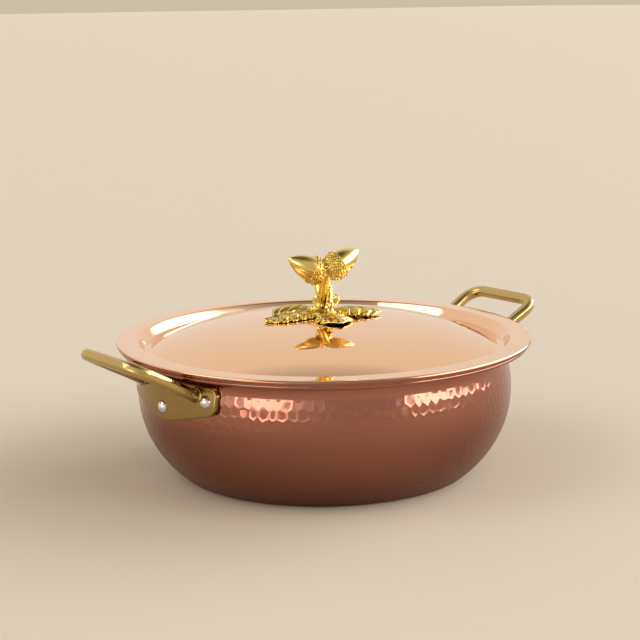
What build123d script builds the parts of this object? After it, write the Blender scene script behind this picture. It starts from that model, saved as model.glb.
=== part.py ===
from build123d import *
from collections import namedtuple
from math import asin, atan, atan2, cos, degrees, radians, sin, sqrt
import os

os.makedirs("parts", exist_ok=True)

# A lidded copper pan with two riveted brass loop handles and an acorn-and-oak-leaf knob.
# Lengths are millimetres and angles are degrees.
# The origin is the middle of the base on the table, +Z is up, and the handles lie along X.

OVERRUN = 30.0  # how far trimming solids run past what they trim
QUARTER_TURN = 90.0
FULL_TURN = 360.0

# Pan: a hammered copper shell with a tin lining
PAN_H = 88.4
BELLY_R = 126.8
SHOULDER_H = 31.4  # from the widest part of the belly up to the brim
BASE_INSET = 32.0
BASE_CORNER_R = 8.0
NECK_INSET = 2.6
FLARE_R = 8.0
BRIM_W = 13.4
COPPER_T = 2.0
TIN_T = 0.4

# Lid: a domed copper sheet with a sunk groove, a flat flange and a folded hem
LID_T = 1.2
LID_TIN_T = 0.3
LID_OVERHANG = 2.4
HEM_W = 4.0
HEM_T = 3.2
HEM_NOSE_R = 1.3
STEP_OUT = 2.8
STEP_SLOPE = 56.0
GROOVE_DEPTH = 6.1
GROOVE_W = 3.5
SHEET_BEND_R = 1.0
DOME_BEND_R = 2.0
DOME_RISE = 12.2
CROWN_SLOPE = 7.0
DOME_EDGE_SLOPE = 23.5

# Handles: a bevelled loop cast in one piece with a curved plate
BAR_W = 8.0
BAR_T = 7.4
BAR_BEVEL = 1.9
LOOP_PITCH = 28.1
LOOP_LENGTH = 45.0
LOOP_ROOT_RISE = 19.5
LOOP_ROOT_OUT = 2.7
LOOP_ROOT_HALF_W = 29.8
LOOP_END_HALF_W = 33.0
LOOP_CORNER_R = 12.0
LOOP_EMBED = 6.0
PLATE_T = 3.5
PLATE_HALF_W = 45.8
PLATE_TOP_RISE = 23.0
PLATE_END_H = 16.6
PLATE_CORNER_R = 5.5
LOBE_DROP = 9.8
LOBE_HALF_W = 7.0
LOBE_R = 9.0

# Rivets: three to each handle, set in a V
RIVET_R = 2.4
RIVET_GAP = 0.05
RIVET_HEAD_R = 4.0
RIVET_HEAD_H = 2.6
RIVET_TAIL_H = 1.0
END_RIVET_SIDE = 37.7
END_RIVET_RISE = 13.7
MIDDLE_RIVET_RISE = 5.0

# Knob foot, and the screw and washer that hold it from inside the lid
FOOT_R = 9.5
FOOT_EDGE_H = 2.2
FOOT_TOP_R = 7.2
FOOT_H = 6.2
SCREW_R = 2.5
SCREW_GAP = 0.05
SCREW_REACH = 5.0
SCREW_HEAD_R = 4.6
SCREW_HEAD_H = 2.8
SCREW_HEAD_EDGE_R = 1.0
SLOT_W = 1.2
SLOT_DEPTH = 1.3
WASHER_R = 7.0
WASHER_T = 1.2
LID_HOLE_GAP = 0.3

# Twigs: three rods twisted together
TWIG_R = 2.9
TWIG_RING_R = 3.45
TWIG_H = 24.0
TWIG_TWIST = 105.0
FIRST_TWIG_BEARING = 172.0
TWIG_NAMES = ("twig_left", "twig_right", "twig_back")

# Acorns: a rough cup with a smooth pointed nut in it
CUP_R = 9.9
CUP_DEPTH = 12.6
CUP_BOTTOM_R = 6.5
CUP_T = 1.1
CUP_LIP_H = 1.4
NUT_GAP = 0.1
NUT_LENGTH = 19.5
NUT_TIP_R = 0.6
Acorn = namedtuple("Acorn", "side bearing pitch place_bearing place_r place_rise")
LEFT_ACORN_R = 6.9
LEFT_ACORN_RISE = 32.2
RIGHT_ACORN_R = 10.1
RIGHT_ACORN_RISE = 34.7
ACORNS = (
    Acorn("left", 158.0, 26.7, 151.8, LEFT_ACORN_R, LEFT_ACORN_RISE),
    Acorn("right", -6.7, 26.9, -19.0, RIGHT_ACORN_R, RIGHT_ACORN_RISE),
)

# A small bud beside the twigs
BUD_R = 2.3
BUD_BEARING = -88.0
BUD_OUT = 7.8
BUD_RISE = 8.6

# Leaves: lobed blades that spread from the foot over the lid
LEAF_ROOT_R = 5.5
LEAF_ROOT_RISE = 2.0
LEAF_ROOT_T = 3.6
LEAF_T = 2.4
LEAF_TIP_GAP = 0.8
LOW_ARCH = 1.2
RIGHT_ARCH = 2.6
BACK_ARCH = 3.2
CURL_ARCH = -1.2
LONG_LEAF_REACH = 42.0
LONG_LEAF_HALF_W = 10.2
FRONT_LEAF_REACH = 33.0
FRONT_LEAF_HALF_W = 12.5
BACK_LEAF_REACH = 27.0
BACK_LEAF_HALF_W = 9.0
BACK_LEAF_CURL = 8.5
STALK_HALF_W = 2.6
BLADE_LENGTH_SHARE = 0.42
BLADE_WIDTH_SHARE = 0.62
LOBE_R_SHARE = 0.40
TIP_R_SHARE = 0.36
LOBE_PLACE_SHARES = ((0.34, 0.70), (0.58, 1.00), (0.81, 0.74))
Leaf = namedtuple("Leaf", "name bearing reach half_w arch curl")
LEAVES = (
    Leaf("leaf_front_left", 158.5, LONG_LEAF_REACH, LONG_LEAF_HALF_W, LOW_ARCH, 0),
    Leaf("leaf_back_left", 110.0, LONG_LEAF_REACH, LONG_LEAF_HALF_W, BACK_ARCH, 0),
    Leaf("leaf_right", -21.0, LONG_LEAF_REACH, LONG_LEAF_HALF_W, RIGHT_ARCH, 0),
    Leaf("leaf_front", 254.0, FRONT_LEAF_REACH, FRONT_LEAF_HALF_W, LOW_ARCH, 0),
    Leaf("leaf_back", 47.0, BACK_LEAF_REACH, BACK_LEAF_HALF_W, CURL_ARCH, BACK_LEAF_CURL),
)

# Places that follow from the sizes above
BELLY_Z = PAN_H - SHOULDER_H
NECK_R = BELLY_R - NECK_INSET
LIP_R = NECK_R + BRIM_W
LID_R = LIP_R + LID_OVERHANG
STEP_R = NECK_R + STEP_OUT
FLANGE_Z = PAN_H + HEM_T
LID_TOP_Z = FLANGE_Z + DOME_RISE
FOOT_TOP_Z = LID_TOP_Z + FOOT_H


def run(length):
    """A straight stretch of a contour."""
    return ("run", length, 0)


def bend(radius, turn):
    """A tangent arc of a contour, turning left when turn is positive."""
    return ("bend", radius, turn)


def trace(start_z, moves, inset):
    """Edges of a contour that starts on the axis and runs outward, shifted inset to its left."""
    point = Vector(0, start_z + inset)
    heading = 0
    edges = []
    for kind, size, turn in moves:
        ahead = Vector(cos(radians(heading)), sin(radians(heading)))
        if kind == "run":
            edge = Line(point, point + ahead * size)
        elif turn > 0:
            edge = JernArc(point, ahead, size - inset, turn)
        else:
            edge = JernArc(point, ahead, size + inset, turn)
        edges.append(edge)
        point = edge @ 1
        heading += turn
    return edges


def turned(edges):
    """Solid of revolution about Z of a closed outline drawn as (radius, height)."""
    return revolve(Plane.XZ * make_face(edges), axis=Axis.Z)


def outlined(*points):
    """Closed outline of straight lines."""
    return Polyline(*points, close=True)


def sheet(start_z, moves, near, far):
    """Turned sheet between two tracks of one contour."""
    first = trace(start_z, moves, near)
    second = trace(start_z, moves, far)
    ends = [Line(first[0] @ 0, second[0] @ 0), Line(first[-1] @ 1, second[-1] @ 1)]
    return turned([*first, *second, *ends])


def upper_wall():
    """Lean and radius of the arc that carries the wall from the belly to the neck."""
    rise = PAN_H - COPPER_T - TIN_T - FLARE_R - BELLY_Z
    lean = 2 * atan(NECK_INSET / rise)
    return degrees(lean), rise / sin(lean) - FLARE_R


def pan_contour():
    """Outside of the pan from the middle of the base to the edge of the brim."""
    across = BASE_INSET
    up = BELLY_Z - BASE_CORNER_R
    lower_r = (across**2 + up**2 - BASE_CORNER_R**2) / (2 * (across - BASE_CORNER_R))
    lower_turn = degrees(atan2(up, lower_r - across))
    lean, upper_r = upper_wall()
    return [
        run(BELLY_R - BASE_INSET),
        bend(BASE_CORNER_R, QUARTER_TURN - lower_turn),
        bend(lower_r, lower_turn),
        bend(upper_r, lean),
        bend(FLARE_R, -QUARTER_TURN - lean),
        run(BRIM_W - FLARE_R),
    ]


def dome_radii():
    """Radii of the crown and of the shoulder of the lid's dome, and the length of the step's slope."""
    fold_r = 2 * SHEET_BEND_R + LID_T + LID_TIN_T
    slope = radians(STEP_SLOPE)
    step_length = (GROOVE_DEPTH - fold_r * (1 - cos(slope))) / sin(slope)
    groove_r = STEP_R - fold_r * sin(slope) - step_length * cos(slope)
    crown = radians(CROWN_SLOPE)
    edge = radians(DOME_EDGE_SLOPE)
    reach = groove_r - GROOVE_W - DOME_BEND_R * sin(edge)
    drop = DOME_RISE + GROOVE_DEPTH - DOME_BEND_R * (1 - cos(edge))
    across = sin(edge) - sin(crown)
    down = cos(crown) - cos(edge)
    crown_share = (1 - cos(crown)) / sin(crown)
    shoulder_r = (drop - crown_share * reach) / (down - crown_share * across)
    crown_r = (reach - across * shoulder_r) / sin(crown)
    return crown_r, shoulder_r, step_length


def lid_contour():
    """Top of the lid from its middle to the inside of the hem."""
    crown_r, shoulder_r, step_length = dome_radii()
    return [
        bend(crown_r, -CROWN_SLOPE),
        bend(shoulder_r, CROWN_SLOPE - DOME_EDGE_SLOPE),
        bend(DOME_BEND_R, DOME_EDGE_SLOPE),
        run(GROOVE_W),
        bend(SHEET_BEND_R, STEP_SLOPE),
        run(step_length),
        bend(SHEET_BEND_R + LID_T + LID_TIN_T, -STEP_SLOPE),
        run(LID_R - HEM_W - STEP_R),
    ]


def crown_drop(radius, below=0):
    """How far the lid's crown, or a layer below it, falls at a radius from its middle."""
    crown_r = dome_radii()[0] - below
    return crown_r - sqrt(crown_r**2 - radius**2)


def aimed(origin, bearing, pitch):
    """Plane at a point whose Z points along a bearing about the vertical and a pitch above level."""
    level = cos(radians(pitch))
    ahead = (level * cos(radians(bearing)), level * sin(radians(bearing)), sin(radians(pitch)))
    return Plane(origin=origin, z_dir=ahead)


def around(radius, bearing, height):
    """Point at a radius, a bearing about Z and a height."""
    return (radius * cos(radians(bearing)), radius * sin(radians(bearing)), height)


def rivet_places(side_bearing):
    """Plane of each rivet, square to the wall, with its origin at the centre of the wall's arc."""
    upper_r = upper_wall()[1]
    end_swing = degrees(asin(END_RIVET_SIDE / BELLY_R))
    places = []
    for swing, rise in (
        (-end_swing, END_RIVET_RISE),
        (0, MIDDLE_RIVET_RISE),
        (end_swing, END_RIVET_RISE),
    ):
        pitch = degrees(atan(rise / sqrt(upper_r**2 - rise**2)))
        bearing = side_bearing + swing
        places.append(aimed(around(BELLY_R - upper_r, bearing, BELLY_Z), bearing, pitch))
    return places


def rivet():
    """One rivet with its domed head outward along Z and its flat tail inside the pan."""
    upper_r = upper_wall()[1]
    inner_r = upper_r - COPPER_T - TIN_T
    tail_z = sqrt(inner_r**2 - RIVET_HEAD_R**2)
    head_z = upper_r + PLATE_T
    return turned(
        [
            Polyline(
                (0, head_z + RIVET_HEAD_H),
                (0, tail_z - RIVET_TAIL_H),
                (RIVET_HEAD_R, tail_z - RIVET_TAIL_H),
                (RIVET_HEAD_R, tail_z),
                (RIVET_R, tail_z),
                (RIVET_R, head_z),
                (RIVET_HEAD_R, head_z),
            ),
            RadiusArc(
                (RIVET_HEAD_R, head_z),
                (0, head_z + RIVET_HEAD_H),
                -(RIVET_HEAD_R**2 + RIVET_HEAD_H**2) / (2 * RIVET_HEAD_H),
            ),
        ]
    )


def rivet_holes(side_bearing):
    """Clearance holes for the three rivets of one handle."""
    depth = upper_wall()[1] + OVERRUN
    hole = Cylinder(RIVET_R + RIVET_GAP, depth, align=(Align.CENTER, Align.CENTER, Align.MIN))
    return [place.location * hole for place in rivet_places(side_bearing)]


def handle(side_bearing, envelope):
    """Bevelled loop and curved plate of one handle, as one casting."""
    slope = radians(LOOP_PITCH)
    loop_plane = Plane(
        origin=(BELLY_R + LOOP_ROOT_OUT, 0, BELLY_Z + LOOP_ROOT_RISE),
        x_dir=(cos(slope), 0, sin(slope)),
        z_dir=(-sin(slope), 0, cos(slope)),
    )
    path = loop_plane * FilletPolyline(
        (-LOOP_EMBED, -LOOP_ROOT_HALF_W),
        (LOOP_LENGTH, -LOOP_END_HALF_W),
        (LOOP_LENGTH, LOOP_END_HALF_W),
        (-LOOP_EMBED, LOOP_ROOT_HALF_W),
        radius=LOOP_CORNER_R,
    )
    start = Plane(origin=path @ 0, z_dir=path % 0, x_dir=loop_plane.z_dir)
    bar = chamfer(Rectangle(BAR_T, BAR_W).vertices(), BAR_BEVEL)
    loop = sweep(start * bar, path=path)

    top_z = BELLY_Z + PLATE_TOP_RISE
    low_z = top_z - PLATE_END_H
    lobe_z = low_z - LOBE_DROP
    outline = FilletPolyline(
        (-PLATE_HALF_W, top_z),
        (-PLATE_HALF_W, low_z),
        (-LOBE_HALF_W, lobe_z),
        (LOBE_HALF_W, lobe_z),
        (PLATE_HALF_W, low_z),
        (PLATE_HALF_W, top_z),
        radius=(PLATE_CORNER_R, PLATE_CORNER_R, LOBE_R, LOBE_R, PLATE_CORNER_R, PLATE_CORNER_R),
        close=True,
    )
    block = extrude(Plane.YZ * make_face(outline), amount=BELLY_R + OVERRUN)
    plate = block & sheet(0, pan_contour(), 0, -PLATE_T)
    casting = Rot(0, 0, side_bearing) * (plate + loop)
    return casting - envelope - rivet_holes(side_bearing)


def leaf_outline(reach, half_w):
    """Lobed outline of a leaf along X, seen from above."""
    length = reach - LEAF_ROOT_R
    lobe_r = LOBE_R_SHARE * half_w
    tip_r = TIP_R_SHARE * half_w
    middle = LEAF_ROOT_R + length / 2
    outline = Pos(middle, 0) * Ellipse(BLADE_LENGTH_SHARE * length, BLADE_WIDTH_SHARE * half_w)
    outline += Pos(middle / 2, 0) * Rectangle(middle, 2 * STALK_HALF_W)
    outline += Pos(reach - tip_r, 0) * Circle(tip_r)
    for along_share, width_share in LOBE_PLACE_SHARES:
        for side in (-1, 1):
            across = side * (width_share * half_w - lobe_r)
            outline += Pos(LEAF_ROOT_R + along_share * length, across) * Circle(lobe_r)
    return outline


def leaf_blanket(reach, arch, curl):
    """Turned blanket that a leaf is cut from, thick at the root and thin at the tip."""
    root_z = LID_TOP_Z + LEAF_ROOT_RISE
    tip_z = LID_TOP_Z - crown_drop(reach) + LEAF_TIP_GAP + curl
    middle_r = (LEAF_ROOT_R + reach) / 2
    low_z = (root_z + tip_z) / 2 + arch
    high_z = low_z + (LEAF_ROOT_T + LEAF_T) / 2
    return turned(
        [
            ThreePointArc((LEAF_ROOT_R, root_z), (middle_r, low_z), (reach, tip_z)),
            Line((reach, tip_z), (reach, tip_z + LEAF_T)),
            ThreePointArc(
                (reach, tip_z + LEAF_T), (middle_r, high_z), (LEAF_ROOT_R, root_z + LEAF_ROOT_T)
            ),
            Line((LEAF_ROOT_R, root_z + LEAF_ROOT_T), (LEAF_ROOT_R, root_z)),
        ]
    )


def leaf(shape, foot):
    """One lobed leaf, trimmed to the knob's foot."""
    outline = Pos(0, 0, LID_TOP_Z - OVERRUN) * leaf_outline(shape.reach, shape.half_w)
    prism = extrude(outline, amount=2 * OVERRUN)
    blade = prism & leaf_blanket(shape.reach, shape.arch, shape.curl)
    return Rot(0, 0, shape.bearing) * blade - foot


def bowl_contour():
    """Outside of an acorn cup, from its bottom up to the plane of its rim."""
    up = CUP_DEPTH - CUP_BOTTOM_R
    side_r = (CUP_R**2 + up**2 - CUP_BOTTOM_R**2) / (2 * (CUP_R - CUP_BOTTOM_R))
    side_turn = degrees(atan2(up, side_r - CUP_R))
    return [bend(CUP_BOTTOM_R, QUARTER_TURN - side_turn), bend(side_r, side_turn)]


def cup():
    """Acorn cup with its rim at zero and its bowl below."""
    return sheet(-CUP_DEPTH, [*bowl_contour(), run(CUP_LIP_H)], 0, CUP_T)


def nut(inset):
    """Acorn nut that lies an inset inside the cup's outside and runs out to a point."""
    bowl = trace(-CUP_DEPTH, bowl_contour(), inset)
    nut_r = CUP_R - inset
    taper = 2 * atan((nut_r - NUT_TIP_R) / NUT_LENGTH)
    return turned(
        [
            *bowl,
            JernArc((nut_r, 0), (0, 1), NUT_LENGTH / sin(taper), degrees(taper)),
            Line((NUT_TIP_R, NUT_LENGTH), (0, NUT_LENGTH)),
            Line((0, NUT_LENGTH), bowl[0] @ 0),
        ]
    )


def acorn_plane(acorn):
    """Plane of an acorn, with its origin in the middle of the cup's rim."""
    place = around(acorn.place_r, acorn.place_bearing, LID_TOP_Z + acorn.place_rise)
    return aimed(place, acorn.bearing, acorn.pitch)


def twigs(acorns):
    """The three twisted twigs, cut off where they meet the acorns that they carry."""
    rods = []
    for number in range(len(TWIG_NAMES)):
        bearing = FIRST_TWIG_BEARING + number * FULL_TURN / len(TWIG_NAMES)
        section = Pos(*around(TWIG_RING_R, bearing, FOOT_TOP_Z)) * Circle(TWIG_R)
        rod = Solid.extrude_linear_with_rotation(
            section.face(), (0, 0, FOOT_TOP_Z), (0, 0, TWIG_H), TWIG_TWIST
        )
        rods.append((rod - acorns).solids().sort_by(Axis.Z)[0])
    return rods


def foot():
    """Round foot of the knob, with the blind hole for the screw."""
    body = turned(
        outlined(
            (0, LID_TOP_Z),
            (FOOT_R, LID_TOP_Z),
            (FOOT_R, LID_TOP_Z + FOOT_EDGE_H),
            (FOOT_TOP_R, FOOT_TOP_Z),
            (0, FOOT_TOP_Z),
        )
    )
    depth = SCREW_REACH + SCREW_GAP
    return body - Pos(0, 0, LID_TOP_Z) * Cylinder(
        SCREW_R + SCREW_GAP, depth, align=(Align.CENTER, Align.CENTER, Align.MIN)
    )


def washer_top():
    """Height where the washer meets the lining inside the lid."""
    lining = LID_T + LID_TIN_T
    return LID_TOP_Z - lining - crown_drop(WASHER_R, lining)


def washer():
    """Flat washer inside the lid."""
    ring = Circle(WASHER_R) - Circle(SCREW_R + SCREW_GAP)
    return extrude(Pos(0, 0, washer_top() - WASHER_T) * ring, amount=WASHER_T)


def screw():
    """Slotted screw that draws the knob down on the lid."""
    under_z = washer_top() - WASHER_T
    up = (Align.CENTER, Align.CENTER, Align.MIN)
    down = (Align.CENTER, Align.CENTER, Align.MAX)
    head = Pos(0, 0, under_z) * Cylinder(SCREW_HEAD_R, SCREW_HEAD_H, align=down)
    head = fillet(head.edges().group_by(Axis.Z)[0], SCREW_HEAD_EDGE_R)
    slot = Pos(0, 0, under_z - SCREW_HEAD_H) * Box(2 * SCREW_HEAD_R, SLOT_W, SLOT_DEPTH, align=up)
    shank = Pos(0, 0, under_z) * Cylinder(SCREW_R, LID_TOP_Z + SCREW_REACH - under_z, align=up)
    return head + shank - slot


def lid_hole():
    """Cutter for the screw hole through the lid and its lining."""
    return Pos(0, 0, LID_TOP_Z) * Cylinder(SCREW_R + LID_HOLE_GAP, 2 * OVERRUN)


def hem():
    """Folded rim of the lid, which rests on the brim."""
    outline = outlined(
        (LID_R - HEM_W, PAN_H), (LID_R, PAN_H), (LID_R, FLANGE_Z), (LID_R - HEM_W, FLANGE_Z)
    )
    face = make_face(outline)
    face = fillet(face.vertices().group_by(Axis.X)[-1], HEM_NOSE_R)
    return revolve(Plane.XZ * face, axis=Axis.Z)


def pan_parts():
    """Pieces of the pan, by node name."""
    contour = pan_contour()
    outside = trace(0, contour, 0)
    top = outside[-1] @ 1
    envelope = turned([*outside, Line(top, (0, top.Y)), Line((0, top.Y), (0, 0))])
    holes = rivet_holes(0) + rivet_holes(180)
    pieces = {
        "pan_shell": sheet(0, contour, 0, COPPER_T) - holes,
        "pan_lining": sheet(0, contour, COPPER_T, COPPER_T + TIN_T) - holes,
    }
    for side, bearing in (("right", 0), ("left", 180)):
        pieces[f"{side}_handle"] = handle(bearing, envelope)
        set_rivets = [place.location * rivet() for place in rivet_places(bearing)]
        pieces[f"{side}_handle_rivets"] = Compound(set_rivets)
    return pieces


def lid_parts():
    """Pieces of the lid and its knob, by node name."""
    contour = lid_contour()
    lining_t = LID_T + LID_TIN_T
    pieces = {
        "lid_shell": sheet(LID_TOP_Z, contour, 0, -LID_T) + hem() - lid_hole(),
        "lid_lining": sheet(LID_TOP_Z, contour, -LID_T, -lining_t) - lid_hole(),
        "knob_foot": foot(),
        "knob_screw": screw(),
        "knob_washer": washer(),
    }
    acorns = []
    for acorn in ACORNS:
        place = acorn_plane(acorn).location
        for name, shape in (("cup", cup()), ("nut", nut(CUP_T + NUT_GAP))):
            shape = place * shape
            if acorns:
                shape = (shape - acorns).solids().sort_by(SortBy.VOLUME)[-1]
            pieces[f"acorn_{name}_{acorn.side}"] = shape
        acorns.append(place * nut(0))
    for name, rod in zip(TWIG_NAMES, twigs(acorns)):
        pieces[name] = rod
    bud = Pos(*around(BUD_OUT, BUD_BEARING, LID_TOP_Z + BUD_RISE)) * Sphere(BUD_R)
    for neighbour in ("knob_foot", *TWIG_NAMES):
        bud -= pieces[neighbour]
    pieces["knob_bud"] = bud
    for shape in LEAVES:
        pieces[shape.name] = leaf(shape, pieces["knob_foot"])
    return pieces


for node, shape in {**pan_parts(), **lid_parts()}.items():
    export_step(shape, f"parts/{node}.step")
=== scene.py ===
"""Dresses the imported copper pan: hammered body, mirror-bright lid, cast handles and acorn knob.

Lengths are metres and angles are degrees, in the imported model's own frame. The origin is the
middle of the base on the table, +Z is up, and the handles lie along X.
"""

import logging
import math
import random
from collections.abc import Callable, Iterable, Sequence
from dataclasses import dataclass
from enum import Enum

import bmesh
import bpy
from bmesh.types import BMesh, BMFace, BMVert
from mathutils import Matrix, Quaternion, Vector


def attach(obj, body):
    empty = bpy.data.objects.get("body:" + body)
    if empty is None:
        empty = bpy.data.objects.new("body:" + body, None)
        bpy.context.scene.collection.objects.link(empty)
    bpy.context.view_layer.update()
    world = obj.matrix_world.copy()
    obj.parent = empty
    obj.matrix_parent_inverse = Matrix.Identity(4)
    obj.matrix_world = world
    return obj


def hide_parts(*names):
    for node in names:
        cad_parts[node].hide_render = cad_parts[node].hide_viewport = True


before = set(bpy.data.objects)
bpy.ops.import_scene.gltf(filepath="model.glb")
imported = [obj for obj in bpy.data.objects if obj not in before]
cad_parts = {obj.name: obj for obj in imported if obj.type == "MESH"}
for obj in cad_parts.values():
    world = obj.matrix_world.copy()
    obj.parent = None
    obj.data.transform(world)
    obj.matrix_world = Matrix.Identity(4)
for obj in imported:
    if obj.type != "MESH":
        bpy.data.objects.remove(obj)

log = logging.getLogger("copper_pan")

Colour = tuple[float, float, float]
Place = tuple[float, float, float]
ORIGIN: Place = (0.0, 0.0, 0.0)
UP: Place = (0.0, 0.0, 1.0)
MERGE_GAP = 1e-6
# Name of the per-point painted light attribute: low values paint shade into the metal's colour.
PAINTED_LIGHT_LAYER = "painted_light"
CELL_ROUNDS = 2


class Body(Enum):
    """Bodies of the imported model."""

    PAN = "pan"
    LID = "lid"


class Slot(Enum):
    """Material slots of the record."""

    HAMMERED_COPPER = "hammered_copper"
    POLISHED_COPPER = "polished_copper"
    TIN = "tin"
    CAST_BRASS = "cast_brass"
    STEEL = "steel"
    GILT_BRIGHT = "gilt_bright"
    GILT_ROUGH = "gilt_rough"
    GILT_LEAF = "gilt_leaf"


class Signal:
    """One output socket, on which plain arithmetic adds Math nodes."""

    def __init__(self, graph: "Graph", socket: bpy.types.NodeSocket) -> None:
        """Wraps a socket.

        Args:
            graph: The node tree that the socket is in.
            socket: The output socket.
        """
        self.graph = graph
        self.socket = socket

    def _math(self, operation: str, first: object, second: object) -> "Signal":
        """Adds one Math node."""
        return self.graph.node("ShaderNodeMath", {"operation": operation}, {0: first, 1: second})

    def __add__(self, other: object) -> "Signal":
        """Sum."""
        return self._math("ADD", self, other)

    def __radd__(self, other: object) -> "Signal":
        """Sum, with the number first."""
        return self._math("ADD", other, self)

    def __sub__(self, other: object) -> "Signal":
        """Difference."""
        return self._math("SUBTRACT", self, other)

    def __rsub__(self, other: object) -> "Signal":
        """Difference, with the number first."""
        return self._math("SUBTRACT", other, self)

    def __mul__(self, other: object) -> "Signal":
        """Product."""
        return self._math("MULTIPLY", self, other)

    def __rmul__(self, other: object) -> "Signal":
        """Product, with the number first."""
        return self._math("MULTIPLY", other, self)

    def __truediv__(self, other: object) -> "Signal":
        """Quotient."""
        return self._math("DIVIDE", self, other)

    def __pow__(self, other: object) -> "Signal":
        """Power."""
        return self._math("POWER", self, other)

    def __abs__(self) -> "Signal":
        """Size without its sign."""
        return self._math("ABSOLUTE", self, 0.0)

    def clamped(self) -> "Signal":
        """The value held between 0 and 1."""
        return self.graph.node("ShaderNodeClamp", {}, {"Value": self})


class Graph:
    """Node tree of one material or of the world."""

    def __init__(self, tree: bpy.types.NodeTree) -> None:
        """Empties the tree.

        Args:
            tree: The node tree to fill.
        """
        self.tree = tree
        tree.nodes.clear()

    def node(
        self,
        kind: str,
        settings: dict[str, object] | None = None,
        inputs: dict[int | str, object] | None = None,
        output: int | str = 0,
    ) -> Signal:
        """Adds one node.

        Args:
            kind: The node's type.
            settings: Its properties, such as a Math node's operation, set first.
            inputs: Values or signals of its input sockets, by number or name.
            output: The output socket to hand back.

        Returns:
            The output, ready for arithmetic. Its node is at socket.node.
        """
        made = self.tree.nodes.new(kind)
        for name, value in (settings or {}).items():
            setattr(made, name, value)
        for name, value in (inputs or {}).items():
            if isinstance(value, Signal):
                self.tree.links.new(value.socket, made.inputs[name])
            else:
                made.inputs[name].default_value = value
        shown = made.outputs[output] if len(made.outputs) else None
        return Signal(self, shown)

    def mix(self, share: object, first: object, second: object) -> Signal:
        """Mixes two colours.

        Args:
            share: How much of the second colour, from 0 to 1.
            first: A colour or a signal.
            second: A colour or a signal.

        Returns:
            The mixed colour.
        """
        settings = {"data_type": "RGBA", "clamp_factor": True}
        inputs = {0: share, 6: self._opaque(first), 7: self._opaque(second)}
        return self.node("ShaderNodeMix", settings, inputs, output=2)

    @staticmethod
    def _opaque(colour: object) -> object:
        """A colour with its alpha, or the signal as it is."""
        return colour if isinstance(colour, Signal) else (*colour, 1.0)

    def noise(self, where: Signal, scale: float, detail: float = 2.0) -> Signal:
        """Soft noise.

        Args:
            where: Coordinates.
            scale: Features per metre.
            detail: Octaves.

        Returns:
            A value around a half.
        """
        return self.node(
            "ShaderNodeTexNoise", {}, {"Vector": where, "Scale": scale, "Detail": detail}
        )

    def parts(self, where: Signal) -> tuple[Signal, Signal, Signal]:
        """X, Y and Z of a vector."""
        split = self.node("ShaderNodeSeparateXYZ", {}, {"Vector": where}).socket.node
        return tuple(Signal(self, split.outputs[axis]) for axis in "XYZ")

    def spread(self, value: Signal, low: float, high: float) -> Signal:
        """Stretches a range of a value to run from 0 to 1."""
        inputs = {"Value": value, "From Min": low, "From Max": high}
        return self.node("ShaderNodeMapRange", {"clamp": True}, inputs)


@dataclass(frozen=True)
class Metal:
    """A bare metal whose tone, gloss and surface vary a little, as handled metal does, with painted
    shade where its attribute asks for it.

    Attributes:
        slot: Material slot of the record.
        colour: Colour of the bright metal.
        tone_and_shade: Colour where it is toned at random or painted as in shade.
        roughness: Gloss of the bright metal.
        worn_roughness: Gloss where it is toned or painted as in shade.
        tone_scale: Patches of tone per metre.
        grain_scale: Marks of the surface per metre.
        grain_height: Height of those marks.
        painted_light: Whether low or shaded places of the piece are painted dark by its painted
            light attribute.
        patch_share: How much the patches of tone add to that.
        smear_share: How much of the change in gloss comes from smears.
        smear_scale: Smears to each patch of tone.
        patch_range: Range of the noise that makes the patches.
        painted_light_range: Levels of that attribute between which the painted shade fades out.
        plain_share: How strong the patches are where no shade is painted.
    """

    slot: Slot
    colour: Colour
    tone_and_shade: Colour
    roughness: float
    worn_roughness: float
    tone_scale: float = 9.0
    grain_scale: float = 900.0
    grain_height: float = 0.00001
    painted_light: bool = False
    patch_share: float = 0.15
    smear_share: float = 0.5
    smear_scale: float = 5.0
    patch_range: tuple[float, float] = (0.38, 0.66)
    painted_light_range: tuple[float, float] = (0.05, 0.75)
    plain_share: float = 0.5

    def material(self) -> bpy.types.Material:
        """Builds the material.

        Returns:
            The finished material, named for its slot.
        """
        made = bpy.data.materials.new(self.slot.value)
        made.use_nodes = True
        graph = Graph(made.node_tree)
        where = graph.node("ShaderNodeTexCoord", output="Object")
        patches = graph.spread(graph.noise(where, self.tone_scale, 4.0), *self.patch_range)
        share = self._tone_and_shade(graph, where, patches)
        # The colour darkens where it is toned at random and where shade is painted in.
        colour = graph.mix(share, self.colour, self.tone_and_shade)
        smears = graph.noise(where, self.tone_scale * self.smear_scale, 5.0)
        gloss_gap = self.worn_roughness - self.roughness
        smear_gap = gloss_gap * self.smear_share
        gloss = share * (gloss_gap - smear_gap) + smears * smear_gap + self.roughness
        height = self._grain(graph, where)
        bump = graph.node(
            "ShaderNodeBump", {}, {"Strength": 1.0, "Distance": self.grain_height, "Height": height}
        )
        inputs = {
            "Base Color": colour, "Metallic": 1.0, "Roughness": gloss.clamped(), "Normal": bump,
        }
        shader = graph.node("ShaderNodeBsdfPrincipled", {}, inputs)
        graph.node("ShaderNodeOutputMaterial", {}, {"Surface": shader})
        return made

    def _tone_and_shade(self, graph: Graph, where: Signal, patches: Signal) -> Signal:
        """How toned the metal is, painted shade included.

        Args:
            graph: Node tree of the material.
            where: Object coordinates.
            patches: Patches of tone, from 0 to 1.

        Returns:
            A value from 0 to 1.
        """
        if not self.painted_light:
            return patches * self.plain_share
        # Painted shade: a low painted light level darkens the colour as shade would.
        height = graph.node("ShaderNodeAttribute", {"attribute_name": PAINTED_LIGHT_LAYER}, output="Fac")
        return self._blend(1.0 - graph.spread(height, *self.painted_light_range), patches)

    def _blend(self, low: Signal, patches: Signal) -> Signal:
        """Blends the painted shade of low places with the patches of tone."""
        return (low * (1.0 - self.patch_share) + patches * self.patch_share).clamped()

    def _grain(self, graph: Graph, where: Signal) -> Signal:
        """Height of the surface's fine marks."""
        return graph.noise(where, self.grain_scale, 3.0)


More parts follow.
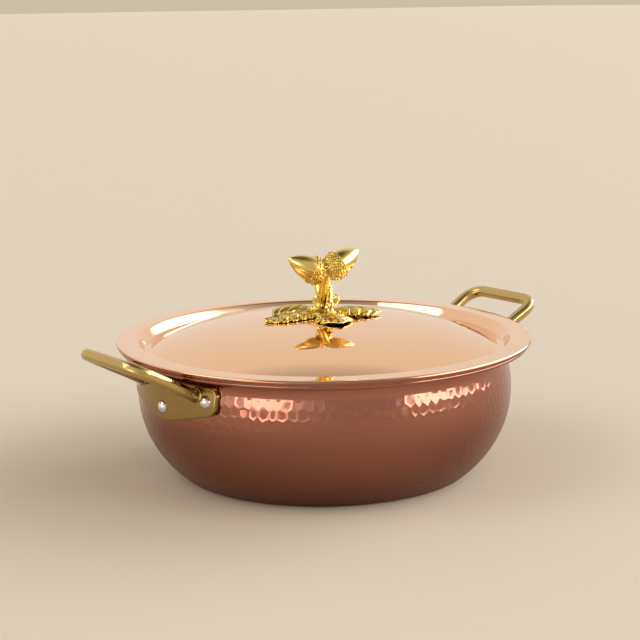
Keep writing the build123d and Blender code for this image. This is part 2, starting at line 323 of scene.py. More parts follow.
@dataclass(frozen=True)
class ShadedBelowMetal(Metal):
    """Bare metal painted darker towards the base: painted shade that stands for the dark
    reflections low on the body.
    """

    # Height at which the painted shade towards the base has faded out.
    painted_shade_height: float = 0.075

    def _tone_and_shade(self, graph: Graph, where: Signal, patches: Signal) -> Signal:
        """How toned the metal is, from 0 to 1, with painted shade that grows towards the base."""
        up = graph.parts(where)[2]
        return self._blend(1.0 - graph.spread(up, 0.0, self.painted_shade_height), patches)


@dataclass(frozen=True)
class TurnedMetal(Metal):
    """Metal with fine marks that run round the axis, from turning or wiping."""

    ring_scale: float = 420.0
    ring_share: float = 0.7

    def _grain(self, graph: Graph, where: Signal) -> Signal:
        """Fine rings about the axis, with a little noise between them.

        Args:
            graph: Node tree of the material.
            where: Object coordinates.

        Returns:
            Height of the marks, around a half.
        """
        across, along, up = graph.parts(where)
        radius = (across * across + along * along) ** 0.5
        rings = graph.node("ShaderNodeCombineXYZ", {}, {"X": radius, "Y": up})
        marks = graph.noise(rings, self.ring_scale, 4.0)
        grain = graph.noise(where, self.grain_scale)
        return marks * self.ring_share + grain * (1.0 - self.ring_share)


class Template:
    """A turner's template: edges in the XZ plane, drawn one stretch at a time."""

    def __init__(self, mesh: BMesh, start: Place, heading: float = 0.0) -> None:
        """Starts the line.

        Args:
            mesh: Mesh to draw in.
            start: Where the line starts.
            heading: Angle of the first stretch from +X towards +Z.
        """
        self.mesh = mesh
        self.heading = heading
        self.row = mesh.verts.layers.int.get("row") or mesh.verts.layers.int.new("row")
        self.tip = bmesh.ops.create_vert(mesh, co=start)["vert"][0]
        self.count = 0

    def _ahead(self) -> Vector:
        """Direction of the line at its tip."""
        angle = math.radians(self.heading)
        return Vector((math.cos(angle), 0.0, math.sin(angle)))

    def _number(self, verts: Iterable[BMVert]) -> None:
        """Numbers new points along the line.

        Args:
            verts: The points, in the line's order.
        """
        for vert in verts:
            self.count += 1
            vert[self.row] = self.count

    def run(self, length: float, steps: int = 1) -> None:
        """Draws a straight stretch.

        Args:
            length: Its length.
            steps: Its edges.
        """
        for _ in range(steps):
            self.tip = bmesh.ops.extrude_vert_indiv(self.mesh, verts=[self.tip])["verts"][0]
            bmesh.ops.translate(self.mesh, verts=[self.tip], vec=self._ahead() * (length / steps))
            self._number([self.tip])

    def bend(self, radius: float, turn: float, steps: int) -> None:
        """Draws a tangent arc.

        Args:
            radius: Its radius.
            turn: Its angle, positive to the left.
            steps: Its edges.
        """
        ahead = self._ahead()
        left = Vector((-ahead.z, 0.0, ahead.x))
        centre = self.tip.co + left * math.copysign(radius, turn)
        old = set(self.mesh.verts)
        made = bmesh.ops.spin(
            self.mesh, geom=[self.tip], cent=centre, axis=(0.0, -1.0, 0.0),
            angle=math.radians(turn), steps=steps, use_merge=False,
        )
        self.tip = next(part for part in made["geom_last"] if isinstance(part, BMVert))
        self._number(vert for vert in self.mesh.verts if vert not in old)
        self.heading += turn


Stretch = tuple[str, float, float, int]


def run(length: float, steps: int = 1) -> Stretch:
    """A straight stretch of a contour."""
    return ("run", length, 0.0, steps)


def bend(radius: float, turn: float, steps: int) -> Stretch:
    """A tangent arc of a contour, turning left when turn is positive."""
    return ("bend", radius, turn, steps)


def draw(template: Template, stretches: Iterable[Stretch], inset: float = 0.0) -> None:
    """Draws a contour, shifted to its left.

    Args:
        template: The template to draw with.
        stretches: The contour.
        inset: How far to its left the line runs.
    """
    for kind, size, turn, steps in stretches:
        if kind == "run":
            template.run(size, steps)
        else:
            template.bend(size - math.copysign(1.0, turn) * inset, turn, steps)


def draw_back(template: Template, stretches: Sequence[Stretch], inset: float) -> None:
    """Draws a contour from its end to its start, a wall's thickness to its left.

    Args:
        template: The template to draw with.
        stretches: The contour, in its forward order.
        inset: Thickness of the wall.
    """
    for kind, size, turn, steps in reversed(stretches):
        if kind == "run":
            template.run(size, max(1, steps // 2))
        else:
            template.bend(size - math.copysign(1.0, turn) * inset, -turn, max(2, steps // 2))


def lathe(mesh: BMesh, steps: int) -> None:
    """Turns everything in a mesh about the Z axis into a closed skin.

    Args:
        mesh: Mesh that holds a template.
        steps: Facets round the axis.
    """
    bmesh.ops.spin(
        mesh, geom=[*mesh.verts, *mesh.edges], cent=ORIGIN, axis=UP,
        angle=2.0 * math.pi, steps=steps, use_merge=True,
    )
    bmesh.ops.remove_doubles(mesh, verts=mesh.verts, dist=MERGE_GAP)
    bmesh.ops.recalc_face_normals(mesh, faces=mesh.faces)


def relax(mesh: BMesh, verts: Sequence[BMVert], rounds: int) -> None:
    """Moves points towards the middle of their neighbours.

    Args:
        mesh: Mesh of the points.
        verts: The points.
        rounds: How many times they move.
    """
    for _ in range(rounds):
        bmesh.ops.smooth_vert(
            mesh, verts=verts, factor=0.5, use_axis_x=True, use_axis_y=True, use_axis_z=True
        )


def in_order(parts: Iterable[BMVert | BMFace], mesh: BMesh, columns: int) -> list:
    """Sorts points or cells by row and column, because operators may hand them over in any order.

    Args:
        parts: The points or cells of a lathed skin.
        mesh: The skin, whose points carry their row.
        columns: Facets round the axis.

    Returns:
        The same points or cells, in an order that every run repeats.
    """
    row = mesh.verts.layers.int["row"]

    def key(part: BMVert | BMFace) -> tuple[int, int]:
        """Row and column of a point or cell.

        Args:
            part: The point or cell.

        Returns:
            Its lowest row and the column of its middle.
        """
        verts = [part] if isinstance(part, BMVert) else part.verts
        middle = sum((vert.co for vert in verts), Vector())
        turn = math.atan2(middle.y, middle.x) / (2.0 * math.pi)
        return min(vert[row] for vert in verts), round(turn * columns) % columns

    return sorted(parts, key=key)


def staggered_cells(mesh: BMesh, columns: int, first_row: int, last_row: int) -> list[BMFace]:
    """Turns a band of a lathed skin into staggered six-sided cells.

    Args:
        mesh: The lathed skin, whose points carry their row.
        columns: Facets round the axis, an even number.
        first_row: Row of points where the band starts.
        last_row: Row of points where it ends.

    Returns:
        The cells.
    """
    row = mesh.verts.layers.int["row"]
    step = 2.0 * math.pi / columns
    spare = []
    for edge in mesh.edges:
        low, high = sorted(vert[row] for vert in edge.verts)
        if low < first_row or high > last_row or low == high:
            continue
        middle = edge.verts[0].co
        column = round(math.atan2(middle.y, middle.x) / step)
        if (column + low) % 2 == 0:
            spare.append(edge)
    bmesh.ops.dissolve_edges(mesh, edges=spare, use_verts=False)
    inner = [vert for vert in mesh.verts if first_row < vert[row] < last_row]
    relax(mesh, inner, CELL_ROUNDS)
    cells = [
        face for face in mesh.faces
        if all(first_row <= vert[row] <= last_row for vert in face.verts) and len(face.verts) > 4
    ]
    return in_order(cells, mesh, columns)


def around(radius: float, bearing: float, height: float) -> Vector:
    """Point at a radius, a bearing about Z and a height."""
    angle = math.radians(bearing)
    return Vector((radius * math.cos(angle), radius * math.sin(angle), height))


def aimed(place: Vector, bearing: float, pitch: float) -> Matrix:
    """Matrix at a point whose Z points along a bearing and a pitch above level.

    Args:
        place: The point.
        bearing: Angle about Z from +X.
        pitch: Angle above level.

    Returns:
        The matrix.
    """
    turn = Matrix.Rotation(math.radians(bearing), 4, "Z")
    tilt = Matrix.Rotation(math.radians(90.0 - pitch), 4, "Y")
    return Matrix.Translation(place) @ turn @ tilt


def sleeve(mesh: BMesh, frames: Sequence[Matrix], sides: int) -> None:
    """Draws a closed tube through frames, each of which carries its own scale.

    Args:
        mesh: Mesh to draw in.
        frames: One matrix for each ring, whose X and Y columns are its half widths.
        sides: Facets round the tube.
    """
    made = bmesh.ops.create_circle(
        mesh, cap_ends=True, radius=1.0, segments=sides, matrix=frames[0]
    )
    cap = next(iter(made["verts"][0].link_faces))
    for last, frame_now in zip(frames, frames[1:]):
        step = bmesh.ops.extrude_face_region(mesh, geom=[cap], use_keep_orig=len(mesh.faces) == 1)
        verts = [part for part in step["geom"] if isinstance(part, BMVert)]
        bmesh.ops.transform(mesh, matrix=frame_now @ last.inverted(), verts=verts)
        cap = next(part for part in step["geom"] if isinstance(part, BMFace))
    bmesh.ops.recalc_face_normals(mesh, faces=mesh.faces)


def shade_smooth(mesh: BMesh) -> None:
    """Makes every face of a mesh smooth."""
    for face in mesh.faces:
        face.smooth = True


def set_painted_light(mesh: BMesh, height: Callable[[BMVert], float]) -> None:
    """Writes each point's painted light, from 0 where shade is painted in fully to 1 where the
    metal is left bright.

    Args:
        mesh: The mesh.
        height: Gives the painted light of a point.
    """
    layer = mesh.verts.layers.float.get(PAINTED_LIGHT_LAYER) or mesh.verts.layers.float.new(PAINTED_LIGHT_LAYER)
    for vert in mesh.verts:
        vert[layer] = min(1.0, max(0.0, height(vert)))


def shuffle(mesh: BMesh, verts: Iterable[BMVert], reach: float, dice: random.Random) -> None:
    """Moves points a little within the surface.

    Args:
        mesh: Mesh of the points.
        verts: The points.
        reach: Furthest move.
        dice: Source of the random draws.
    """
    mesh.normal_update()
    for vert in verts:
        move = Vector([dice.uniform(-reach, reach) for _ in range(3)])
        vert.co += move - vert.normal * move.dot(vert.normal)


def knock(cell: BMFace, move: float, tilt: float, dice: random.Random) -> None:
    """Moves a cell along its normal and leans it at random, as one blow does.

    Args:
        cell: The cell.
        move: How far it moves out.
        tilt: How far its edge rises or sinks as it leans.
        dice: Source of the random draws.
    """
    lean = Vector([dice.uniform(-1.0, 1.0) for _ in range(3)]).normalized()
    middle = cell.calc_center_median()
    for vert in cell.verts:
        rise = (vert.co - middle).normalized().dot(lean) * tilt
        vert.co += cell.normal * (move + rise)


@dataclass(frozen=True)
class Berth:
    """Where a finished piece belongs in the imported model.

    Attributes:
        body: Body that it rides on.
        slot: Material slot that it takes its finish from.
        nodes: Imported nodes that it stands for.
    """

    body: Body
    slot: Slot
    nodes: tuple[str, ...]


class Wardrobe:
    """Makes each material once and hands it out by slot."""

    def __init__(self, metals: Iterable[Metal]) -> None:
        """Builds the materials.

        Args:
            metals: The finishes, one for each slot.
        """
        self.materials = {metal.slot: metal.material() for metal in metals}

    def dress_node(self, name: str, slot: Slot) -> None:
        """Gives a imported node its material.

        Args:
            name: The node.
            slot: Its material slot.
        """
        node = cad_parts[name]
        if not node.material_slots:
            node.data.materials.append(self.materials[slot])
        for holder in node.material_slots:
            holder.material = self.materials[slot]
        log.info("packed node %s wears %s", name, slot.value)

    def piece(self, mesh: BMesh, name: str, berth: Berth) -> bpy.types.Object:
        """Turns a finished mesh into a piece of the object.

        Args:
            mesh: The mesh, in place. It is freed.
            name: Name of the piece.
            berth: Where it belongs.

        Returns:
            The new object.
        """
        data = bpy.data.meshes.new(name)
        mesh.to_mesh(data)
        mesh.free()
        made = add_object(name, data)
        data.materials.append(self.materials[berth.slot])
        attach(made, berth.body.value)
        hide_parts(*berth.nodes)
        log.info("%s: %d faces on %s", name, len(data.polygons), berth.body.value)
        return made


def add_object(name: str, data: bpy.types.ID) -> bpy.types.Object:
    """Adds an object to the scene.

    Args:
        name: Name of the object.
        data: Its mesh, lamp or camera.

    Returns:
        The new object.
    """
    made = bpy.data.objects.new(name, data)
    bpy.context.scene.collection.objects.link(made)
    return made


def add_subdivision(piece: bpy.types.Object, levels: int) -> None:
    """Smooths a piece with a Subdivision Surface modifier.

    Args:
        piece: The piece.
        levels: How many times it is divided.
    """
    modifier = piece.modifiers.new("subdivision", "SUBSURF")
    modifier.levels = levels
    modifier.render_levels = levels


def add_thickness(piece: bpy.types.Object, thickness: float) -> None:
    """Gives a sheet its thickness, downwards, with a Solidify modifier.

    Args:
        piece: The sheet.
        thickness: Its thickness.
    """
    modifier = piece.modifiers.new("thickness", "SOLIDIFY")
    modifier.thickness = thickness
    modifier.offset = -1.0
    modifier.use_even_offset = False


@dataclass(frozen=True)
class PanBody:
    """The hammered shell and its tin lining.

    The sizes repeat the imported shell's: a flat base, a round belly, a drawn-in neck and a brim.
    """

    height: float = 0.0884
    belly_radius: float = 0.1268
    shoulder_height: float = 0.0314
    base_inset: float = 0.032
    base_corner: float = 0.008
    neck_inset: float = 0.0026
    flare: float = 0.008
    brim: float = 0.0134
    copper: float = 0.002
    tin: float = 0.0004
    cells_round: int = 124
    cell_height: float = 0.0056
    cell_shuffle: float = 0.0008
    cell_rim: float = 0.0013
    dish: float = 0.00005
    dish_middle: float = 0.00003
    dish_change: float = 0.6
    facet_tilt: float = 0.00008
    seed: int = 7

    def contour(self) -> list[Stretch]:
        """Outside of the pan.

        Returns:
            Its stretches, from the middle of the base to the edge of the brim.
        """
        belly = self.height - self.shoulder_height
        across = self.base_inset
        up = belly - self.base_corner
        lower = (across**2 + up**2 - self.base_corner**2) / (2 * (across - self.base_corner))
        lower_turn = math.degrees(math.atan2(up, lower - across))
        rise = self.shoulder_height - self.copper - self.tin - self.flare
        lean = 2 * math.atan(self.neck_inset / rise)
        upper = rise / math.sin(lean) - self.flare
        lean = math.degrees(lean)
        return [
            run(self.belly_radius - self.base_inset, 6),
            bend(self.base_corner, 90 - lower_turn, 4),
            bend(lower, lower_turn, self._rows(lower, lower_turn)),
            bend(upper, lean, self._rows(upper, lean)),
            bend(self.flare, -90 - lean, 8),
            run(self.brim - self.flare, 2),
        ]

    def _rows(self, radius: float, turn: float) -> int:
        """Rows of cells along an arc."""
        return round(radius * math.radians(turn) / self.cell_height)

    def build(self, wardrobe: Wardrobe) -> None:
        """Builds the hammered shell and dresses the lining.

        Args:
            wardrobe: Source of the materials.
        """
        dice = random.Random(self.seed)
        mesh = bmesh.new()
        contour = self.contour()
        template = Template(mesh, ORIGIN)
        draw(template, contour)
        template.heading += 90
        template.run(self.copper)
        template.heading += 90
        draw_back(template, contour, self.copper)
        columns = 2 * self.cells_round
        lathe(mesh, columns)
        first_row = contour[0][3] + contour[1][3]
        last_row = first_row + contour[2][3] + contour[3][3]
        cells = staggered_cells(mesh, columns, first_row, last_row)
        self._hammer(mesh, cells, (first_row, last_row), dice)
        berth = Berth(Body.PAN, Slot.HAMMERED_COPPER, ("pan_shell",))
        wardrobe.piece(mesh, "hammered_shell", berth)
        wardrobe.dress_node("pan_lining", Slot.TIN)

    def _hammer(
        self, mesh: BMesh, cells: list[BMFace], band: tuple[int, int], dice: random.Random
    ) -> None:
        """Gives each cell the shallow dish of one hammer blow.

        Args:
            mesh: The shell.
            cells: Its cells.
            band: Rows of points where the hammering starts and ends.
            dice: Source of the random draws.
        """
        row = mesh.verts.layers.int["row"]
        inner = [vert for vert in mesh.verts if band[0] < vert[row] < band[1]]
        shuffle(mesh, in_order(inner, mesh, 2 * self.cells_round), self.cell_shuffle, dice)
        shade_smooth(mesh)
        for edge in {edge for cell in cells for edge in cell.edges}:
            edge.smooth = False
        bmesh.ops.inset_individual(
            mesh, faces=cells, thickness=self.cell_rim, depth=-self.dish, use_even_offset=True
        )
        mesh.normal_update()
        for cell in cells:
            move = dice.uniform(-self.dish_change, self.dish_change) * self.dish
            knock(cell, move, self.facet_tilt, dice)
        bmesh.ops.poke(mesh, faces=cells, offset=-self.dish_middle)


@dataclass(frozen=True)
class Lid:
    """The polished lid: a domed sheet with a sunk groove, a flat flange and a folded hem."""

    top: float = 0.1038
    thickness: float = 0.0012
    fold: float = 0.0015
    radius: float = 0.13999
    hem_width: float = 0.004
    hem_height: float = 0.0032
    nose: float = 0.0013
    step_radius: float = 0.127
    step_slope: float = 56.0
    groove_depth: float = 0.0061
    groove_width: float = 0.0035
    sheet_bend: float = 0.001
    dome_bend: float = 0.002
    dome_rise: float = 0.0122
    crown_slope: float = 7.0
    edge_slope: float = 23.5
    steps_round: int = 256
    # Depth down the hem's side, as a share of its nose, at which the painted shade is full.
    hem_shade_share: float = 0.8

    def _dome(self) -> tuple[float, float, float]:
        """Works out what the dome's named sizes leave open.

        Returns:
            Radii of the crown and the shoulder, and the length of the step's slope.
        """
        fold = 2 * self.sheet_bend + self.fold
        slope = math.radians(self.step_slope)
        length = (self.groove_depth - fold * (1 - math.cos(slope))) / math.sin(slope)
        groove = self.step_radius - fold * math.sin(slope) - length * math.cos(slope)
        crown = math.radians(self.crown_slope)
        edge = math.radians(self.edge_slope)
        reach = groove - self.groove_width - self.dome_bend * math.sin(edge)
        drop = self.dome_rise + self.groove_depth - self.dome_bend * (1 - math.cos(edge))
        across = math.sin(edge) - math.sin(crown)
        down = math.cos(crown) - math.cos(edge)
        share = (1 - math.cos(crown)) / math.sin(crown)
        shoulder = (drop - share * reach) / (down - share * across)
        return (reach - across * shoulder) / math.sin(crown), shoulder, length

    def crown_height(self, radius: float) -> float:
        """Height of the lid's top at a radius near its middle."""
        crown = self._dome()[0]
        return self.top - crown + math.sqrt(crown**2 - radius**2)

    def contour(self) -> list[Stretch]:
        """Top of the lid.

        Returns:
            Its stretches, from the middle to the inside of the hem.
        """
        crown, shoulder, length = self._dome()
        return [
            bend(crown, -self.crown_slope, 12),
            bend(shoulder, self.crown_slope - self.edge_slope, 20),
            bend(self.dome_bend, self.edge_slope, 4),
            run(self.groove_width, 2),
            bend(self.sheet_bend, self.step_slope, 4),
            run(length, 2),
            bend(self.sheet_bend + self.fold, -self.step_slope, 5),
            run(self.radius - self.hem_width - self.step_radius, 3),
        ]

    def build(self, wardrobe: Wardrobe) -> None:
        """Builds the lid and dresses what lies under it.

        Args:
            wardrobe: Source of the materials.
        """
        mesh = bmesh.new()
        template = Template(mesh, (0.0, 0.0, self.top))
        contour = self.contour()
        draw(template, contour)
        template.run(self.hem_width - self.nose, 2)
        template.bend(self.nose, -90, 5)
        template.run(self.hem_height - 2 * self.nose)
        template.bend(self.nose, -90, 5)
        template.run(self.hem_width - self.nose)
        template.heading -= 90
        template.run(self.hem_height - self.thickness)
        template.heading += 90
        draw_back(template, contour, -self.thickness)
        lathe(mesh, self.steps_round)
        shade_smooth(mesh)
        flange = self.top - self.dome_rise
        # Painted shade on the side of the hem, kept in the painted light attribute.
        set_painted_light(mesh, lambda vert: self._hem_painted_light(vert.co, flange))
        berth = Berth(Body.LID, Slot.POLISHED_COPPER, ("lid_shell",))
        wardrobe.piece(mesh, "polished_lid", berth)
        wardrobe.dress_node("lid_lining", Slot.TIN)

    def _hem_painted_light(self, place: Vector, flange: float) -> float:
        """How bright the copper is painted: the side of the hem carries painted shade, a dark
        reflection painted in, and the rest is left polished and bright.

        Args:
            place: Point of the lid.
            flange: Height of the flange's top.

        Returns:
            A value from 0 to 1.
        """
        out = place.xy.length - (self.radius - self.nose)
        down = flange - place.z
        return 1.0 if out <= 0.0 else 1.0 - min(1.0, down / (self.hem_shade_share * self.nose))


@dataclass(frozen=True)
class Acorn:
    """One acorn: a rough cup of cast nuggets with a mirror-smooth pointed nut.

    Attributes:
        side: Which side of the knob it is on.
        bearing: Where it points, about Z.
        pitch: How far it points above level.
        place: Middle of the cup's rim.
        seed: Seed of the cup's random draws.
    """

    side: str
    bearing: float
    pitch: float
    place: Vector
    seed: int
    cup_radius: float = 0.0099
    cup_depth: float = 0.0126
    bottom_radius: float = 0.0065
    wall: float = 0.0011
    lip: float = 0.0014
    nut_inset: float = 0.0012
    nut_length: float = 0.0189
    tip: float = 0.0009
    nuggets_round: int = 25
    nugget_rows: int = 6
    nugget_height: float = 0.0009
    nugget_change: tuple[float, float] = (-0.7, 0.3)
    nugget_rim: float = 0.00016
    nugget_shuffle: float = 0.00045
    nugget_tilt: float = 0.0004
    skin_inset: float = 0.0006
    crown_rise: float = 0.5
    # Painted light of the nuggets' rims and crowns; the grooves between them get none, so shade is
    # painted there.
    rim_painted_light: float = 0.8
    crown_painted_light: float = 0.45
    nut_sides: int = 48

    def _bowl(self, rows: int) -> list[Stretch]:
        """Outside of the cup.

        Args:
            rows: Steps along its side.

        Returns:
            Its stretches, from the bottom to the plane of the rim.
        """
        up = self.cup_depth - self.bottom_radius
        side = (self.cup_radius**2 + up**2 - self.bottom_radius**2) / (
            2 * (self.cup_radius - self.bottom_radius)
        )
        turn = math.degrees(math.atan2(up, side - self.cup_radius))
        return [bend(self.bottom_radius, 90 - turn, 3), bend(side, turn, rows)]

    def build(self, wardrobe: Wardrobe) -> None:
        """Builds the cup and the nut.

        Args:
            wardrobe: Source of the materials.
        """
        matrix = aimed(self.place, self.bearing, self.pitch)
        cup = wardrobe.piece(
            self._cup(matrix), f"nugget_cup_{self.side}",
            Berth(Body.LID, Slot.GILT_ROUGH, (f"acorn_cup_{self.side}",)),
        )
        add_subdivision(cup, 2)
        nut = self._nut(matrix)
        berth = Berth(Body.LID, Slot.GILT_BRIGHT, (f"acorn_nut_{self.side}",))
        wardrobe.piece(nut, f"mirror_nut_{self.side}", berth)

    def _nut(self, matrix: Matrix) -> BMesh:
        """Smooth nut that runs out to a small rounded point.

        Args:
            matrix: Place of the cup's rim.

        Returns:
            The nut's mesh, in place.
        """
        mesh = bmesh.new()
        template = Template(mesh, (0.0, 0.0, self.nut_inset - self.cup_depth))
        draw(template, self._bowl(8), self.nut_inset)
        radius = self.cup_radius - self.nut_inset
        taper = 2 * math.atan((radius - self.tip) / self.nut_length)
        template.bend(self.nut_length / math.sin(taper), math.degrees(taper), 18)
        template.bend(self.tip / math.cos(taper), 90 - math.degrees(taper), 4)
        lathe(mesh, self.nut_sides)
        shade_smooth(mesh)
        bmesh.ops.transform(mesh, matrix=matrix, verts=mesh.verts)
        return mesh

    def _cup(self, matrix: Matrix) -> BMesh:
        """Cup whose staggered cells are raised into rough nuggets, with painted shade in the
        grooves between them.

        Args:
            matrix: Place of the cup's rim.

        Returns:
            The cup's mesh, in place.
        """
        dice = random.Random(self.seed)
        mesh = bmesh.new()
        template = Template(mesh, (0.0, 0.0, self.skin_inset - self.cup_depth))
        bowl = self._bowl(self.nugget_rows)
        draw(template, bowl, self.skin_inset)
        template.run(self.lip)
        last_row = template.count
        template.heading += 90
        template.run(self.wall - self.skin_inset)
        template.heading += 90
        template.run(self.lip)
        draw_back(template, bowl, self.wall)
        columns = 2 * self.nuggets_round
        lathe(mesh, columns)
        cells = staggered_cells(mesh, columns, 1, last_row)
        row = mesh.verts.layers.int["row"]
        inner = [vert for vert in mesh.verts if 1 < vert[row] < last_row]
        shuffle(mesh, in_order(inner, mesh, columns), self.nugget_shuffle, dice)
        old = set(mesh.verts)
        bmesh.ops.inset_individual(mesh, faces=cells, thickness=self.nugget_rim, depth=0.0)
        bmesh.ops.inset_individual(
            mesh, faces=cells, thickness=self.nugget_rim, depth=self.nugget_height
        )
        mesh.normal_update()
        for cell in cells:
            move = dice.uniform(*self.nugget_change) * self.nugget_height
            knock(cell, move, self.nugget_tilt, dice)
        # Painted shade: the grooves between the nuggets and the rest of the cup are painted fully
        # as in shade, the nuggets lighter.
        painted_light = dict.fromkeys(old, 0.0)
        painted_light.update((vert, self.rim_painted_light) for cell in cells for vert in cell.verts)
        bmesh.ops.poke(mesh, faces=cells, offset=self.crown_rise * self.nugget_rim)
        set_painted_light(mesh, lambda vert: painted_light.get(vert, self.crown_painted_light))
        shade_smooth(mesh)
        bmesh.ops.transform(mesh, matrix=matrix, verts=mesh.verts)
        return mesh


@dataclass(frozen=True)
class Twigs:
    """The three twisted twigs of the stem, whose feet spread over the knob's foot."""

    names: tuple[str, ...] = ("twig_left", "twig_right", "twig_back")
    first_bearing: float = 172.0
    radius: float = 0.0029
    ring: float = 0.00345
    base: float = 0.1100
    height: float = 0.0235
    twist: float = 105.0
    toe_ring: float = 0.0106
    toe_base: float = 0.1084
    toe_twist: float = -34.0
    toe_radius: float = 0.0023
    toe_share: float = 0.3
    toe_sweep: float = 2.0
    toe_fall: float = 1.5
    sight: float = 0.01
    rings: int = 30
    sides: int = 20

    def _frames(self, bearing: float) -> list[Matrix]:
        """Frames of a twig's rings, each turned from the last with no twist of its own.

        Args:
            bearing: Bearing of the twig at the foot.

        Returns:
            The rings' matrices, from its toe to its top.
        """
        turn = Quaternion()
        frames = []
        for step in range(self.rings + 1):
            share = step / self.rings
            before = self._point(share - self.sight, bearing)
            ahead = self._point(share + self.sight, bearing) - before
            turn = (turn @ Vector(UP)).rotation_difference(ahead) @ turn
            toe = max(0.0, 1.0 - share / self.toe_share)
            girth = self.radius + (self.toe_radius - self.radius) * toe
            size = Matrix.Diagonal((girth, girth, girth, 1.0))
            place = Matrix.Translation(self._point(share, bearing))
            frames.append(place @ turn.to_matrix().to_4x4() @ size)
        return frames

    def _point(self, share: float, bearing: float) -> Vector:
        """Point on a twig's middle line.

        Args:
            share: How far up the twig it is, from 0 to 1.
            bearing: Bearing of the twig at the foot.

        Returns:
            The point.
        """
        toe = max(0.0, 1.0 - share / self.toe_share)
        ring = self.ring + (self.toe_ring - self.ring) * toe**self.toe_sweep
        rise = max(0.0, (share - self.toe_share) / (1.0 - self.toe_share))
        height = self.base + self.height * rise + (self.toe_base - self.base) * toe**self.toe_fall
        swing = self.twist * rise + self.toe_twist * toe
        return around(ring, bearing + swing, height)

    def build(self, wardrobe: Wardrobe) -> None:
        """Builds the twigs.

        Args:
            wardrobe: Source of the materials.
        """
        for number, name in enumerate(self.names):
            bearing = self.first_bearing + number * 360.0 / len(self.names)
            mesh = bmesh.new()
            sleeve(mesh, self._frames(bearing), self.sides)
            shade_smooth(mesh)
            berth = Berth(Body.LID, Slot.GILT_BRIGHT, (name,))
            wardrobe.piece(mesh, f"twisted_{name}", berth)


